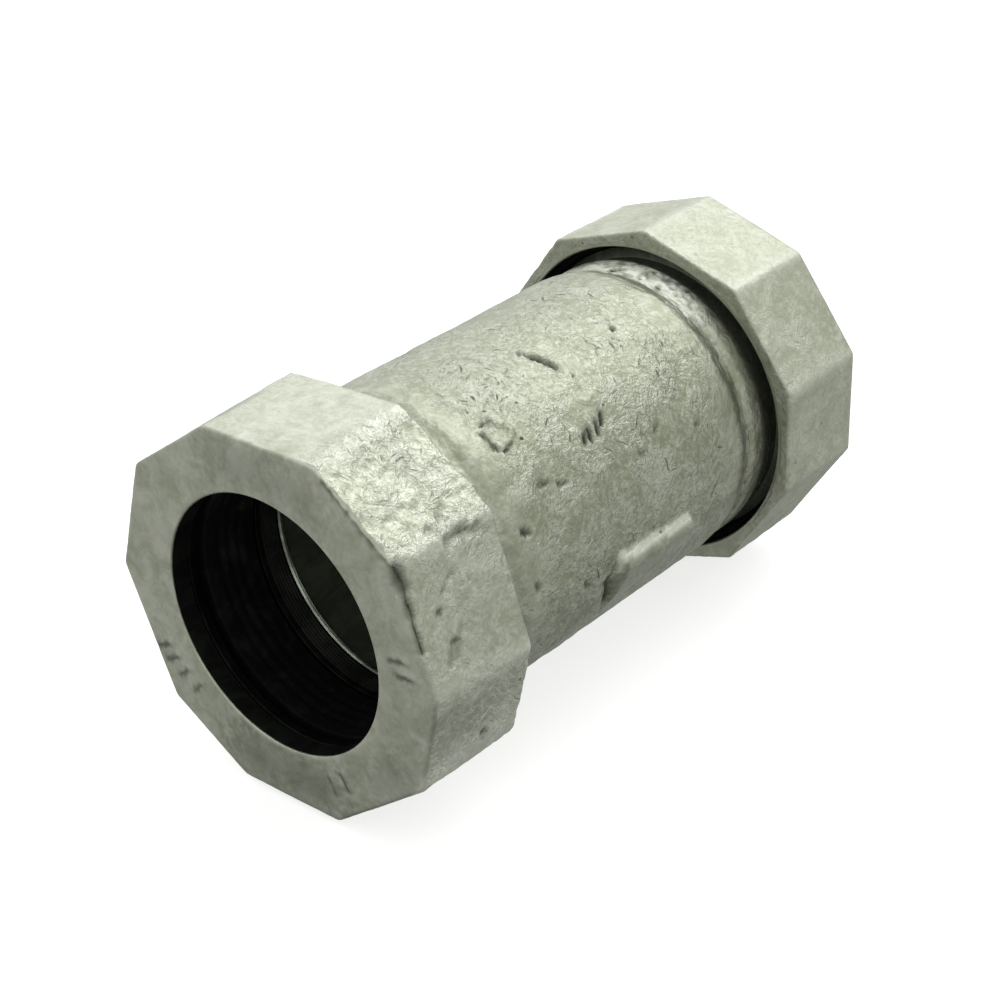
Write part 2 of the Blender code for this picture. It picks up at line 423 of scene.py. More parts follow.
@dataclass(frozen=True)
class DarkBore:
    """The unlit inside of the casting: dark colours as painted shade, with dull zinc that has run and dried."""

    name: str
    dark: Colour = (0.085, 0.10, 0.075, 1.0)
    light: Colour = (0.125, 0.146, 0.11, 1.0)

    def material(self) -> bpy.types.Material:
        """Build the material."""
        graph = Graph.of_material(self.name)
        runs = graph.noise(graph.millimetres((0.4, 1.0, 1.0)), 2.4, 3.0, 0.6, 0.8)
        colour = graph.blend(runs.between(0.38, 0.66), self.dark, self.light)
        graph.set(
            Base_Color=colour,
            Metallic=0.75,
            Roughness=0.46 + runs * 0.2,
            Normal=graph.bump(runs, 0.12),
        )
        return graph.owner


@dataclass(frozen=True)
class PlatedSteel:
    """Turned steel with a thin zinc plating, finely ringed by the tool; its near-black default colours are painted
    shade for rings deep in the bore.
    """

    name: str
    clean: Colour = (0.016, 0.017, 0.015, 1.0)
    dusty: Colour = (0.005, 0.0055, 0.0045, 1.0)
    roughness: float = 0.36
    ring_pitch: float = 0.16

    def material(self) -> bpy.types.Material:
        """Build the material."""
        graph = Graph.of_material(self.name)
        place = graph.millimetres()
        rings = graph.noise(graph.millimetres((1 / self.ring_pitch, 0.05, 0.05)), 1.0, 2.0)
        stain = graph.noise(place, 3.2, 4.0, 0.65, 0.6)
        colour = graph.blend(stain.between(0.35, 0.68), self.dusty, self.clean)
        graph.set(
            Base_Color=colour,
            Metallic=0.95,
            Roughness=self.roughness + stain * 0.14 + rings * 0.08,
            Normal=graph.bump(rings, 0.02),
        )
        return graph.owner


@dataclass(frozen=True)
class MouldedRubber:
    """Black moulded rubber with talc dust in its grain."""

    name: str
    base: Colour = (0.003, 0.003, 0.003, 1.0)
    dust: Colour = (0.010, 0.0105, 0.0095, 1.0)

    def material(self) -> bpy.types.Material:
        """Build the material."""
        graph = Graph.of_material(self.name)
        place = graph.millimetres()
        cloud = graph.noise(place, 4.0, 4.0, 0.65, 0.4)
        grain = graph.noise(place, 0.22, 2.0, 0.6)
        colour = graph.blend(cloud.between(0.45, 0.75), self.base, self.dust)
        graph.set(
            Base_Color=colour,
            Roughness=0.62 + cloud * 0.2,
            Specular_IOR_Level=0.06,
            Normal=graph.bump(grain, 0.03),
        )
        return graph.owner


# ---------------------------------------------------------------- mesh work


Outline = list[tuple[float, float, float]]


def softened(outline: Outline, steps: int = 4) -> list[Vector]:
    """Round the corners of a closed outline.

    Args:
        outline: Points as x, radius and how far the corner is cut back along its two sides.
        steps: Points on each round corner, less one.

    Returns:
        The outline's points in the half plane Y = 0, Z > 0.
    """
    corners = [Vector((x, 0.0, radius)) for x, radius, _ in outline]
    points: list[Vector] = []
    for index, (corner, (_, _, cut)) in enumerate(zip(corners, outline)):
        before = (corners[index - 1] - corner).normalized() * cut
        after = (corners[(index + 1) % len(corners)] - corner).normalized() * cut
        if cut == 0:
            points.append(corner)
            continue
        for step in range(steps + 1):
            t = step / steps
            points.append(corner + before * (1 - t) ** 2 + after * t**2)
    return points


@dataclass(frozen=True)
class Mark:
    """A dent, a groove or a raised bead on a casting, along a line between two points.

    The height is negative for a dent, the number after it says how dark its bottom is painted, as shade and soil,
    and raggedness how broken its outline is.
    """

    start: Vector
    stop: Vector
    radius: float
    height: float
    shade_and_soil: float = 0.0
    raggedness: float = 1.0

    def share(self, points: np.ndarray, ragged: np.ndarray) -> np.ndarray:
        """Return how much of the mark each point gets, from 0 outside it to 1 in its middle.

        Args:
            points: The points, one a row.
            ragged: How far each point strays from a clean outline, about zero.

        Returns:
            One share for each point.
        """
        start = np.array(self.start)
        run = np.array(self.stop) - start
        along = np.clip((points - start) @ run / max(run @ run, 1e-9), 0, 1)
        away = np.linalg.norm(points - start - along[:, None] * run, axis=1) / self.radius
        return np.clip(1 - (away * (1 + ragged * self.raggedness)) ** 2, 0, 1) ** 1.5


def apply_marks(points: np.ndarray, marks: list[Mark]) -> tuple[np.ndarray, np.ndarray]:
    """Work out what a casting's marks do to its points.

    Args:
        points: The points, one a row.
        marks: The marks.

    Returns:
        How far each point is lifted, and how dark it gets.
    """
    ragged = np.clip(np.array([noise.noise(Vector(point) / 0.7) for point in points]) * 1.1, -0.3, 1.0)
    lifted, shaded_and_soiled = np.zeros(len(points)), np.zeros(len(points))
    for mark in marks:
        share = mark.share(points, ragged)
        lifted += mark.height * share
        shaded_and_soiled = np.maximum(shaded_and_soiled, mark.shade_and_soil * share)
    return lifted, shaded_and_soiled


def around(x: float, angle: float, radius: float) -> Vector:
    """Return the point at an angle in degrees, from +Y towards +Z, on a cylinder about X."""
    turn = math.radians(angle)
    return Vector((x, radius * math.cos(turn), radius * math.sin(turn)))


@dataclass(frozen=True)
class CastSkin:
    """Relief that sand and zinc leave on a casting: slow waves, hammered dimples and creases."""

    wave: float = 0.11
    dimple: float = 0.075
    crease: float = 0.10
    seed: float = 0.0

    def height(self, point: Vector) -> float:
        """Return the relief at a point, at most about 0.3 mm."""
        spot = point + Vector((self.seed, -self.seed, 2 * self.seed))
        bent = spot + noise.noise_vector(spot / 3.1) * 1.1
        waves = noise.noise(spot / 8.5) * self.wave
        dimples = noise.noise(bent / 2.3) * self.dimple
        lines = (1 - abs(noise.noise(bent / 1.9 + Vector((7.3, 1.7, 4.1))))) ** 9
        return waves + dimples - lines * self.crease


class Workpiece:
    """A mesh in the making."""

    SECTORS = 8

    def __init__(self, name: str) -> None:
        """Start an empty mesh.

        Args:
            name: Name of the finished piece.
        """
        self.name = name
        self.edit = bmesh.new()
        self.wear_and_highlight = self.edit.verts.layers.float.new("wear_and_highlight")
        self.shade_and_dirt = self.edit.verts.layers.float.new("shade_and_dirt")
        self.calm = self.edit.verts.layers.float.new("calm")

    def turn(
        self,
        outline: Outline,
        steps: int,
        spacing: float = 100.0,
        is_fine: Callable[[float, float], bool] = lambda x, radius: True,
        gap: float = 0.0,
    ) -> None:
        """Add a solid of revolution about X.

        Args:
            outline: Its closed section.
            steps: Facets round it.
            spacing: Longest edge along the fine stretches of the section.
            is_fine: Whether the section is fine at an x and a radius.
            gap: Angle left open at +Z, in radians.
        """
        points = softened(outline)
        verts = [self.edit.verts.new(point) for point in points]
        edges = [self.edit.edges.new(pair) for pair in zip(verts, verts[1:] + verts[:1])]
        for edge in edges:
            middle = (edge.verts[0].co + edge.verts[1].co) / 2
            cuts = int(edge.calc_length() / spacing)
            if cuts and is_fine(middle.x, middle.z):
                bmesh.ops.subdivide_edges(self.edit, edges=[edge], cuts=cuts)
        share = FULL_TURN / self.SECTORS
        if gap:
            bmesh.ops.contextual_create(self.edit, geom=self.edit.edges[:])
            half_open = Matrix.Rotation(-gap / 2, 3, "X")
            bmesh.ops.rotate(self.edit, verts=self.edit.verts, cent=(0, 0, 0), matrix=half_open)
        bmesh.ops.spin(
            self.edit,
            geom=self.edit.verts[:] + self.edit.edges[:] + self.edit.faces[:],
            cent=(0, 0, 0),
            axis=(1, 0, 0),
            angle=-(FULL_TURN - gap) if gap else -share,
            steps=steps if gap else steps // self.SECTORS,
        )
        # A fine full turn is quicker as one sector, which is doubled until it closes on itself.
        turned = self.SECTORS if gap else 1
        while turned < self.SECTORS:
            whole = self.edit.verts[:] + self.edit.edges[:] + self.edit.faces[:]
            copy = bmesh.ops.duplicate(self.edit, geom=whole)["geom"]
            verts = [item for item in copy if isinstance(item, bmesh.types.BMVert)]
            onward = Matrix.Rotation(-share * turned, 3, "X")
            bmesh.ops.rotate(self.edit, verts=verts, cent=(0, 0, 0), matrix=onward)
            turned *= 2

    def coil(self, outline: Outline, turns: float, steps: int, fade: float = 0.5) -> None:
        """Add a right-hand ridge that winds about X.

        Args:
            outline: Its closed section, placed where the ridge starts, at +Y.
            turns: Number of turns.
            steps: Facets in a turn.
            fade: Turns over which it grows out of the wall and sinks back into it.
        """
        first = len(self.edit.verts)
        count = round(turns * steps)
        points = [Vector((p.x, p.z, 0)) for p in softened(outline, 2)]
        section = self.edit.faces.new([self.edit.verts.new(point) for point in points])
        root = outline[0][1]
        bmesh.ops.spin(
            self.edit,
            geom=[section, *section.edges, *section.verts],
            cent=(0, 0, 0),
            axis=(1, 0, 0),
            dvec=(PITCH / steps, 0, 0),
            angle=FULL_TURN * count / steps,
            steps=count,
        )
        for index, vert in enumerate(self.edit.verts[first:]):
            step = index // len(points)
            grown = min(1.0, min(step, count - step) / (fade * steps))
            radius = math.hypot(vert.co.y, vert.co.z)
            scale = (root + (radius - root) * grown) / radius
            vert.co.y *= scale
            vert.co.z *= scale

    def points(self) -> np.ndarray:
        """Return the vertices' places."""
        return np.array([vert.co for vert in self.edit.verts])

    def push(self, heights: np.ndarray) -> None:
        """Move each vertex along its normal by its height."""
        self.edit.normal_update()
        normals = [vert.normal.copy() for vert in self.edit.verts]
        for vert, normal, height in zip(self.edit.verts, normals, heights):
            vert.co += normal * float(height)

    def face_out(self) -> None:
        """Weld the mesh and turn its faces outwards."""
        bmesh.ops.remove_doubles(self.edit, verts=self.edit.verts, dist=1e-4)
        bmesh.ops.recalc_face_normals(self.edit, faces=self.edit.faces)
        self.edit.verts.ensure_lookup_table()

    def finish(self, materials: list[bpy.types.Material], side: Side | None = None) -> bpy.types.Object:
        """Make the object.

        Args:
            materials: Its finishes, by the faces' material numbers.
            side: The end that it belongs to, or None if its place is the coupling's already.

        Returns:
            The object, at the origin, with its place in its mesh.
        """
        if side is not None:
            bmesh.ops.transform(self.edit, matrix=side.placing(), verts=self.edit.verts)
        bmesh.ops.scale(self.edit, vec=(MM, MM, MM), verts=self.edit.verts)
        mesh = bpy.data.meshes.new(self.name)
        self.edit.to_mesh(mesh)
        self.edit.free()
        for material in materials:
            mesh.materials.append(material)
        mesh.shade_smooth()
        mesh.set_sharp_from_angle(angle=math.radians(52))
        made = bpy.data.objects.new(self.name, mesh)
        bpy.context.scene.collection.objects.link(made)
        return made


# ---------------------------------------------------------------- the pieces


@dataclass
class CastBody:
    """The open-ended body: barrel, two beads, two threads, a casting lug and a stop inside."""

    skin: bpy.types.Material
    bore: bpy.types.Material
    barrel: float = 21.1
    bead: float = 20.75
    root: float = 19.95
    crest: float = 21.2
    bore_radius: float = 17.9
    stop_radius: float = 15.2
    bead_start: float = 15.6
    seat_end: float = 19.6
    thread_start: float = 9.6
    thread_turns: float = 2.1
    lug_x: tuple[float, float] = (-5.3, 10.4)
    lug_angle: tuple[float, float] = (184.0, 212.0)
    lug_slant: float = 0.16
    lug_proud: float = 1.5
    steps: int = 320
    spacing: float = 0.42
    relief: CastSkin = field(default_factory=lambda: CastSkin(seed=3.0))

    def build(self) -> bpy.types.Object:
        """Build the body and return it."""
        piece = Workpiece("cast_body")
        piece.turn(self.outline(), self.steps, self.spacing, lambda x, radius: radius > self.root - 0.1)
        piece.face_out()
        self.shape_skin(piece)
        # Faces inside the barrel take the bore finish, whose dark colours are painted shade.
        for face in piece.edit.faces:
            middle = face.calc_center_median()
            face.material_index = int(math.hypot(middle.y, middle.z) < self.root - 1)
        for side in Side:
            self.add_thread(piece, side)
        made = piece.finish([self.skin, self.bore])
        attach(made, "coupling")
        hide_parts("coupling_body")
        return made

    def outline(self) -> Outline:
        """Return the body's section, outside from near to far, then inside and back."""
        end = Envelope.of("coupling_body").start
        outside = [
            (end, self.root - 0.5, 0.2),
            (end + 0.5, self.root, 0.2),
            (self.bead_start, self.root, 0.3),
            (self.bead_start + 0.4, self.bead - 0.25, 0.25),
            (self.bead_start + 1.4, self.bead, 0.4),
            (self.bead_start + 3.6, self.bead, 0.6),
            (self.bead_start + 4.4, self.bead - 0.3, 0.35),
            (self.bead_start + 5.3, self.bead - 0.2, 0.4),
            (self.bead_start + 7.0, self.barrel, 0.9),
        ]
        inside = [
            (HALF_LENGTH - 1.3, self.stop_radius, 0.3),
            (HALF_LENGTH - 2.0, self.bore_radius, 0.4),
            (self.seat_end, self.bore_radius, 0.12),
            (self.seat_end, 18.5, 0.12),
            (end, 18.8, 0.25),
        ]
        near = [(x - HALF_LENGTH, radius, cut) for x, radius, cut in outside]
        far = [(-x, radius, cut) for x, radius, cut in reversed(near)]
        near_inside = [(x - HALF_LENGTH, radius, cut) for x, radius, cut in inside]
        far_inside = [(-x, radius, cut) for x, radius, cut in reversed(near_inside)]
        return near + far + far_inside + near_inside

    def shape_skin(self, piece: Workpiece) -> None:
        """Give the barrel its relief, lug, gouges and pits."""
        points = piece.points()
        x = points[:, 0]
        radii = np.hypot(points[:, 1], points[:, 2])
        angle = np.degrees(np.arctan2(points[:, 2], points[:, 1])) % 360
        bead_edge = HALF_LENGTH - self.bead_start - 0.8
        outer = (radii > 19.6) & (np.abs(x) < bead_edge)
        strength = outer * np.clip((bead_edge - np.abs(x)) / 1.2, 0, 1)
        rough = np.array([self.relief.height(vert.co) for vert in piece.edit.verts])
        chipped = (x > 23.5) * np.clip(1 - np.abs(angle - 98) / 42, 0, 1)
        chips = np.array([noise.noise(vert.co / 0.75) for vert in piece.edit.verts]) * 0.26
        lifted, shaded_and_soiled = apply_marks(points, self.marks())
        lug = self.lug(x, angle)
        skin = (rough * (1 - 0.6 * np.clip(lug, 0, 1)) + chips * chipped) * strength
        piece.push((skin + lug + lifted) * outer)
        # Darker in the relief's hollows and between the chips: painted shade.
        low = np.clip(-skin / 0.35 - 0.45, 0, 1) * 0.5
        low = np.maximum(low, np.clip(-chips * 9 - 0.3, 0, 1) * chipped * 0.5)
        # Brighter on the relief's peaks and over the chipped top near the far bead, partly flaked zinc and partly
        # painted highlight.
        high = np.clip(skin / 0.3 - 0.35, 0, 1) * 0.35 + np.clip(0.9 + chips * 6, 0, 1.4) * chipped
        # The lug's upper slope is painted bright: a painted highlight.
        high += (lug > 0.1) * (lug < 0.8 * self.lug_proud) * (angle < self.lug_angle[0] + 8) * 0.55
        calm = np.clip((np.abs(x) - 17) / 4, 0, 1) * 0.7 + np.clip(lug, 0, 1) * 0.6
        layers = zip(piece.edit.verts, np.maximum(low, shaded_and_soiled) * outer, high * outer, np.clip(calm, 0, 1))
        for vert, shade_and_dirt, wear_and_highlight, still in layers:
            vert[piece.calm] = float(still)
            vert[piece.shade_and_dirt] = float(shade_and_dirt)
            vert[piece.wear_and_highlight] = float(wear_and_highlight)

    def lug(self, x: np.ndarray, angle: np.ndarray) -> np.ndarray:
        """Return the height of the casting lug at places on the barrel."""
        along = np.minimum(x - self.lug_x[0], self.lug_x[1] - x)
        top_edge = self.lug_angle[0] + self.lug_slant * (x - self.lug_x[0])
        across_top = (angle - top_edge) * math.radians(self.barrel)
        across_low = (self.lug_angle[1] - angle) * math.radians(self.barrel)
        ledge = np.clip(across_top / 1.1, 0, 1)
        return self.lug_proud * np.clip(along / 0.8, 0, 1) * ledge * np.clip(across_low / 8.0, 0, 1)

    def marks(self) -> list[Mark]:
        """Return the dents and beads that single this casting out."""
        r = self.barrel
        ring = [
            around(-16.2 + 2.1 * math.cos(turn), 126 + 4.6 * math.sin(turn), r)
            for turn in (FULL_TURN * step / 10 for step in range(11))
        ]
        marks = [Mark(first, second, 0.6, 0.22) for first, second in zip(ring, ring[1:])]
        grooves = [
            # A ring-shaped blister, with a dark crescent of painted shadow on two of its sides
            (-18.1, 123, -18.0, 130, 0.55, -0.40, 0.9),
            (-17.2, 120.5, -15.6, 120, 0.5, -0.30, 0.7),
            (-15.4, 130.5, -17.0, 131.5, 0.5, -0.35, 0.7),
            # A clean gouge high on the barrel
            (-2.9, 103, -1.9, 108, 0.5, -0.32, 0.7),
            (-2.1, 107, -1.2, 115, 0.6, -0.40, 0.9),
            # A patch of short black cuts
            (-5.2, 143, -4.7, 140, 0.5, -0.35, 1.0),
            (-4.3, 143.5, -3.6, 139.5, 0.5, -0.40, 1.0),
            (-2.7, 142.5, -2.1, 139, 0.55, -0.40, 1.0),
            (-1.3, 140.5, -0.4, 137.5, 0.6, -0.40, 1.0),
            # Single pits and scratches
            (11.4, 112.6, 11.4, 113.2, 0.5, -0.45, 1.0),
            (22.4, 142.5, 22.8, 148.5, 0.5, -0.25, 0.7),
            (-20.6, 156.5, -20.3, 158.5, 0.6, -0.38, 0.9),
            (-19.8, 158, -19.7, 159, 0.45, -0.30, 0.8),
            (-6.4, 194, -5.4, 205, 0.9, -0.50, 0.9),
            (2.4, 156, 2.9, 157, 0.5, -0.30, 0.6),
            (6.4, 152, 6.9, 151, 0.5, -0.30, 0.6),
            (-15.3, 147, -13.9, 147.5, 0.5, -0.28, 0.7),
            (-12.3, 150, -11.3, 151, 0.55, -0.30, 0.7),
            (13.8, 158, 14.2, 158, 0.45, -0.30, 0.8),
            (-11.2, 188, -10.8, 190, 0.5, -0.30, 0.7),
            (-20.4, 176, -20.3, 178, 0.5, -0.30, 0.7),
            # The side away from the lug
            (8.0, 262, 9.0, 268, 0.7, -0.30, 0.5),
            (-14.0, 300, -12.5, 296, 0.7, -0.30, 0.5),
            (4.0, 20, 6.0, 26, 0.8, -0.30, 0.4),
            (-9.0, 62, -6.0, 58, 0.7, -0.25, 0.4),
            (-18.0, 40, -17.6, 41, 0.5, -0.35, 0.8),
            (16.0, 335, 16.5, 332, 0.6, -0.30, 0.6),
        ]
        for x0, a0, x1, a1, radius, height, shade_and_soil in grooves:
            marks.append(Mark(around(x0, a0, r), around(x1, a1, r), radius, height, shade_and_soil))
        return marks

    def add_thread(self, piece: Workpiece, side: Side) -> None:
        """Wind the ridge of one thread onto an end."""
        slope = math.tan(math.radians(30))
        sunk = self.root - 0.25
        half_base = 0.18 + (self.crest - sunk) * slope
        section = [
            (self.thread_start - half_base, sunk, 0.0),
            (self.thread_start - 0.18, self.crest, 0.08),
            (self.thread_start + 0.18, self.crest, 0.08),
            (self.thread_start + half_base, sunk, 0.0),
        ]
        thread = Workpiece("thread")
        thread.coil(section, self.thread_turns, 120, 0.6)
        thread.face_out()
        # The ridge takes the bore's dark finish, painted shade.
        for face in thread.edit.faces:
            face.material_index = 1
        bmesh.ops.transform(thread.edit, matrix=side.placing(), verts=thread.edit.verts)
        mesh = bpy.data.meshes.new("thread")
        thread.edit.to_mesh(mesh)
        thread.edit.free()
        piece.edit.from_mesh(mesh)
        bpy.data.meshes.remove(mesh)


@dataclass
class GlandNut:
    """A ten-sided nut with a turned-in lip, whose casting corners stray from a true decagon."""

    side: Side
    skin: bpy.types.Material
    dark: bpy.types.Material
    hole: float = 17.05
    lip: float = 3.1
    cavity: float = 20.6
    cavity_end: float = 5.6
    mouth: float = 22.3
    mouth_start: float = 13.6
    root: float = 21.55
    crest: float = 20.35
    edge: float = 0.5
    calm: float = 0.0
    face_drop: float = 0.2
    steps: int = 400
    spacing: float = 0.42
    corner_softness: float = 330.0
    phase: float = 0.0
    stray: dict[int, tuple[float, float]] = field(default_factory=dict)
    stray_back: dict[int, tuple[float, float]] = field(default_factory=dict)
    rough_facets: dict[int, float] = field(default_factory=dict)
    marks: list[Mark] = field(default_factory=list)
    relief: CastSkin = field(default_factory=CastSkin)

    def __post_init__(self) -> None:
        """Take the nut's length and corner radius from its CAD node."""
        room = Envelope.of(f"{self.side.value}_nut")
        self.length = room.stop
        self.corner = room.outer - 0.12

    def build(self) -> bpy.types.Object:
        """Build the nut and return it."""
        piece = Workpiece(f"{self.side.value}_gland_nut")
        piece.turn(
            self.outline(),
            self.steps,
            self.spacing,
            lambda x, radius: x < 1 or radius > self.mouth or x > self.length - 1,
        )
        piece.face_out()
        self.make_ten_sided(piece)
        self.shape_skin(piece)
        # The nut's inside takes the dark finish, whose near-black colours are painted shade.
        for face in piece.edit.faces:
            middle = face.calc_center_median()
            radius = math.hypot(middle.y, middle.z)
            face.material_index = int(self.face_drop + 0.4 < middle.x < self.length - 0.5 and radius < self.mouth + 0.2)
        self.add_thread(piece)
        made = piece.finish([self.skin, self.dark], self.side)
        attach(made, f"{self.side.value}_gland")
        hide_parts(f"{self.side.value}_nut")
        return made

    def outline(self) -> Outline:
        """Return the nut's section before its outside is made ten-sided."""
        front = self.face_drop
        return [
            (front, self.hole, 0.28),
            (front, self.corner, self.edge),
            (self.length, self.corner, self.edge),
            (self.length, self.mouth, 0.35),
            (self.mouth_start, self.mouth, 0.2),
            (self.mouth_start - 0.5, self.root, 0.2),
            (self.cavity_end + 0.3, self.root, 0.1),
            (self.cavity_end, self.cavity, 0.2),
            (self.lip, self.cavity, 0.3),
            (self.lip, self.hole, 0.22),
        ]

    def corners(self, back: bool) -> list[tuple[float, float]]:
        """Return the angle in degrees and the radius of each corner, at the front or the back."""
        stray = self.stray_back if back else self.stray
        found = []
        for index in range(10):
            shift, radius = stray.get(index, (0.0, self.corner))
            found.append((self.phase + 36 * (index + 1) + shift, radius))
        return found

    def outside_radius(self, corners: list[tuple[float, float]], angles: np.ndarray) -> np.ndarray:
        """Return the radius of a soft-cornered polygon at each angle.

        Args:
            corners: Angle in degrees and radius of each corner.
            angles: Angles in radians.

        Returns:
            The radii.
        """
        total = np.zeros_like(angles)
        for first, second in zip(corners, corners[1:] + corners[:1]):
            a, b = around(0, *first), around(0, *second)
            normal = Vector((0, (b - a).z, -(b - a).y)).normalized()
            reach = a.dot(normal)
            toward = np.cos(angles) * normal.y + np.sin(angles) * normal.z
            total += np.clip(toward / reach * self.corner, 0, None) ** self.corner_softness
        return self.corner * total ** (-1 / self.corner_softness)

    def make_ten_sided(self, piece: Workpiece) -> None:
        """Draw the turned outside in to the ten flats."""
        points = piece.points()
        x, radii = points[:, 0], np.hypot(points[:, 1], points[:, 2])
        angles = np.arctan2(points[:, 2], points[:, 1])
        depth = np.clip(x / self.length, 0, 1)
        front = self.outside_radius(self.corners(False), angles)
        back = self.outside_radius(self.corners(True), angles)
        polygon = front * (1 - depth) + back * depth
        base = np.where(x < self.length / 2, self.hole, self.mouth)
        outside = (x < 1.3) & (radii > self.hole) | (radii > self.mouth + 0.01)
        share = (radii - base) / (self.corner - base)
        wanted = np.where(outside, base + share * (polygon - base), radii)
        for vert, scale in zip(piece.edit.verts, wanted / radii):
            vert.co.y *= float(scale)
            vert.co.z *= float(scale)

    def shape_skin(self, piece: Workpiece) -> None:
        """Give the nut its relief, dents and worn edges."""
        points = piece.points()
        x, radii = points[:, 0], np.hypot(points[:, 1], points[:, 2])
        angle = np.degrees(np.arctan2(points[:, 2], points[:, 1]))
        outside = (radii > self.mouth + 0.5) | ((x < self.face_drop + 0.05) & (radii > self.hole + 0.3))
        on_face = x < self.face_drop + 0.3
        place = ((angle - self.phase) % 360) / 36 - 0.5
        facet = np.floor(place).astype(int)
        by_facet = np.array([self.rough_facets.get(k, 1.0) for k in range(10)])
        onward = np.clip((place - facet - 0.5) / 0.22 + 0.5, 0, 1)
        by_facet = by_facet[facet % 10] * (1 - onward) + by_facet[(facet + 1) % 10] * onward
        amount = np.where(on_face, 0.28, by_facet) * outside
        rough = np.array([self.relief.height(vert.co) for vert in piece.edit.verts])
        burrs = np.array([noise.noise(vert.co / 0.8) for vert in piece.edit.verts]) * 0.15
        pebbles = np.array([noise.noise(vert.co / 1.05 + Vector((3, 9, 5))) for vert in piece.edit.verts]) * 0.17
        rim = outside & (x < self.face_drop + 1.2) & ~on_face | outside & (x > self.length - 1.2)
        lifted, shaded_and_soiled = apply_marks(points, self.marks)
        heights = rough * amount + burrs * rim * np.clip(amount - 0.5, 0, 1)
        heights += pebbles * np.clip((amount - 1.0) * 2, 0, 1)
        heights = np.where(on_face, np.clip(heights, -1, self.face_drop * 0.5), heights)
        piece.push((heights + lifted) * outside)
        flat_reach = self.corner * math.cos(math.pi / 10)
        ridge = np.clip((radii - flat_reach - 0.75) / 0.6, 0, 1) * 0.4
        # Darker in the relief's hollows: painted shade.
        low = np.clip(-heights / 0.4 - 0.4, 0, 1) * 0.5
        calm = np.where(on_face, 0.95, np.clip(1.35 - amount, 0, 0.8) + self.calm)
        layers = zip(piece.edit.verts, np.maximum(low, shaded_and_soiled) * outside, ridge * outside, np.clip(calm, 0, 1))
        for vert, shade_and_dirt, wear_and_highlight, still in layers:
            vert[piece.calm] = float(still)
            vert[piece.shade_and_dirt] = float(shade_and_dirt)
            vert[piece.wear_and_highlight] = float(wear_and_highlight)

    def add_thread(self, piece: Workpiece) -> None:
        """Wind the inner thread's ridge onto the wall."""
        slope = math.tan(math.radians(30))
        sunk = self.root + 0.2
        half_crest = 0.18
        half_base = half_crest + (sunk - self.crest) * slope
        middle = self.cavity_end + 0.2 + half_base
        male_start = CastBody.thread_start
        # Its crest lies half a pitch from the male crest, wherever along the thread that is.
        middle = male_start + PITCH / 2 + PITCH * round((middle - male_start - PITCH / 2) / PITCH)
        section = [
            (middle - half_base, sunk, 0.0),
            (middle - half_crest, self.crest, 0.08),
            (middle + half_crest, self.crest, 0.08),
            (middle + half_base, sunk, 0.0),
        ]
        thread = Workpiece("thread")
        thread.coil(section, (self.mouth_start - 0.8 - middle) / PITCH, 120)
        thread.face_out()
        # The ridge takes the dark finish, painted shade.
        for face in thread.edit.faces:
            face.material_index = 1
        mesh = bpy.data.meshes.new("thread")
        thread.edit.to_mesh(mesh)
        thread.edit.free()
        piece.edit.from_mesh(mesh)
        bpy.data.meshes.remove(mesh)


